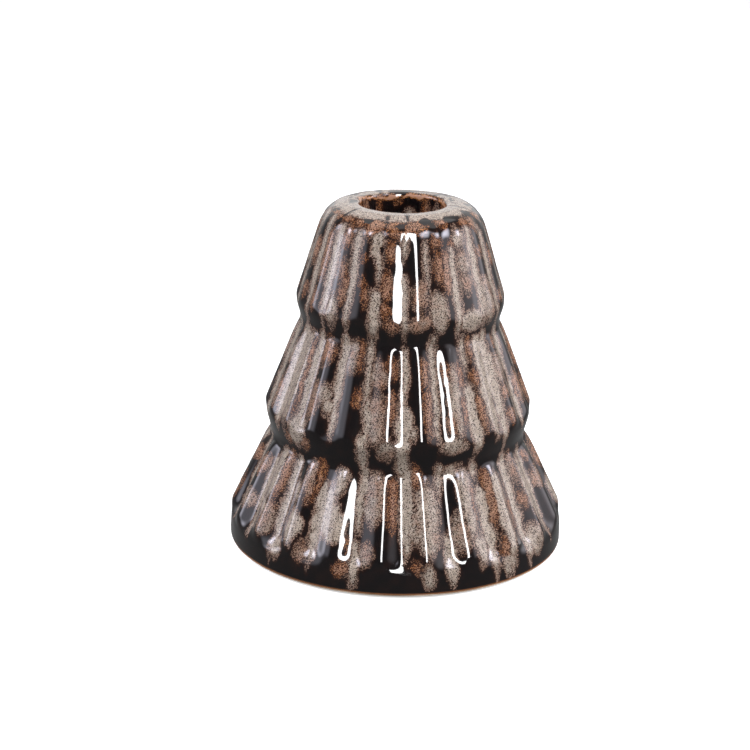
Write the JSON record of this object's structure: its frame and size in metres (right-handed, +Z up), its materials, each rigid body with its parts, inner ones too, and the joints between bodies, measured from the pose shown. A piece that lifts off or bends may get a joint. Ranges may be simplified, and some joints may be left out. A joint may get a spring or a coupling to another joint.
{
  "type": "taper candle holder",
  "caption": "Glazed stoneware holder for one taper candle, shaped as a tree of three fluted skirts with a round socket in its flat top.",
  "frame": {"origin": "on the table under the middle of the holder, at the underside of the felt pads", "axes": "+Z up along the socket's axis; -Y is the front"},
  "size_m": [0.091, 0.091, 0.0935],
  "materials": {
    "reactive_glaze": "glossy dark brown glaze with taupe and rust runs",
    "socket_glaze": "glossy dark brown glaze, thin",
    "bare_clay": "matt unglazed stoneware",
    "felt": "dense pressed felt"
  },
  "bodies": {
    "root": {"fluted_body": "reactive_glaze", "candle_cup": "socket_glaze", "base_disc": "bare_clay", "felt_pad_1": "felt", "felt_pad_2": "felt", "felt_pad_3": "felt", "felt_pad_4": "felt"}
  },
  "joints": []
}
